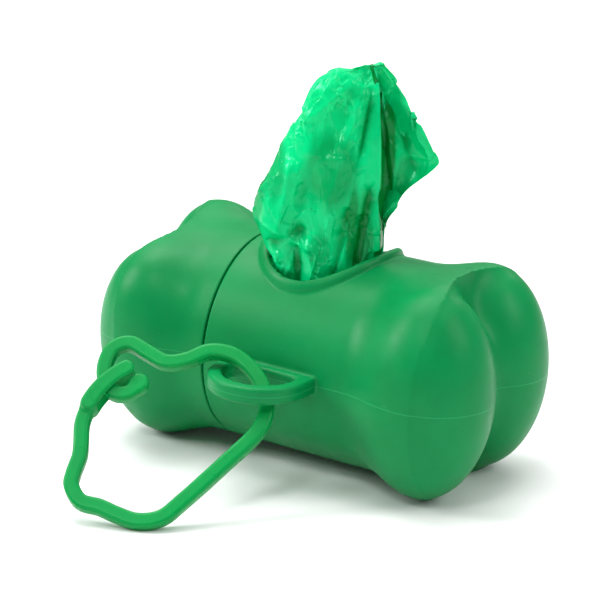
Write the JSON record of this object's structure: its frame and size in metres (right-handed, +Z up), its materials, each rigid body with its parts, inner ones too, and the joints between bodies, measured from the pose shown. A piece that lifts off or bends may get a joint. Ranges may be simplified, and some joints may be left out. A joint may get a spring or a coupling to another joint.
{
  "type": "dog waste bag dispenser",
  "caption": "Bone-shaped holder for a roll of dog waste bags: moulded shell with a screw-off end, a bag pulled up through the oval slot, a side lug and a snap carabiner.",
  "frame": {"origin": "on the surface it lies on, under the middle of the whole object's box", "axes": "+X along the bone from the screw cap to the closed end, +Y away from the lug and carabiner, +Z up"},
  "size_m": [0.0838, 0.0816, 0.0778],
  "materials": {
    "shell_plastic": "satin injection-moulded",
    "clip_plastic": "semi-gloss injection-moulded",
    "bag_film": "thin crinkled film",
    "core_card": "bare spiral-wound card"
  },
  "bodies": {
    "shell": {"dispenser_body": "shell_plastic"},
    "core": {"roll_core": "core_card"},
    "roll": {"wound_bag_15": "bag_film", "wound_bag_14": "bag_film", "wound_bag_13": "bag_film", "wound_bag_12": "bag_film", "wound_bag_11": "bag_film", "wound_bag_10": "bag_film", "wound_bag_09": "bag_film", "wound_bag_08": "bag_film", "wound_bag_07": "bag_film", "wound_bag_06": "bag_film", "wound_bag_05": "bag_film", "wound_bag_04": "bag_film", "wound_bag_03": "bag_film", "wound_bag_02": "bag_film"},
    "cap": {"end_cap": "shell_plastic"},
    "pulled_bag": {"pulled_bag_01": "bag_film"},
    "clip": {"carabiner_frame": "clip_plastic"},
    "gate": {"carabiner_gate": "clip_plastic"}
  },
  "joints": [
    {"name": "cap_travel", "type": "slide", "parent": "shell", "child": "core", "axis": [-0.9996, 0, 0.029], "range_m": [0, 0.0057]},
    {"name": "cap_turn", "type": "hinge", "parent": "core", "child": "cap", "pos_m": [0.00004, 0.01733, 0.02134], "axis": [-0.9996, 0, 0.029], "range_deg": [0, 630]},
    {"name": "roll_spin", "type": "hinge", "parent": "core", "child": "roll", "pos_m": [0.00004, 0.01733, 0.02134], "axis": [-0.9996, 0, 0.029], "range_deg": [0, 74]},
    {"name": "bag_pull", "type": "slide", "parent": "shell", "child": "pulled_bag", "axis": [0.029, 0, 0.9996], "range_m": [0, 0.02]},
    {"name": "carabiner_swing", "type": "hinge", "parent": "shell", "child": "clip", "pos_m": [0.00354, -0.01017, 0.02124], "axis": [-0.383, 0.3214, 0.866], "range_deg": [0, 135]},
    {"name": "gate_open", "type": "hinge", "parent": "clip", "child": "gate", "pos_m": [-0.01822, -0.03447, 0.0102], "axis": [-0.3575, 0.616, -0.7019], "range_deg": [0, 20], "stiffness_Nm_per_rad": 0.1}
  ],
  "couplings": [
    {"joint": "cap_travel", "follows": "cap_turn", "m_per_rad": 0.0005093},
    {"joint": "roll_spin", "follows": "bag_pull", "rad_per_m": 63.7}
  ]
}
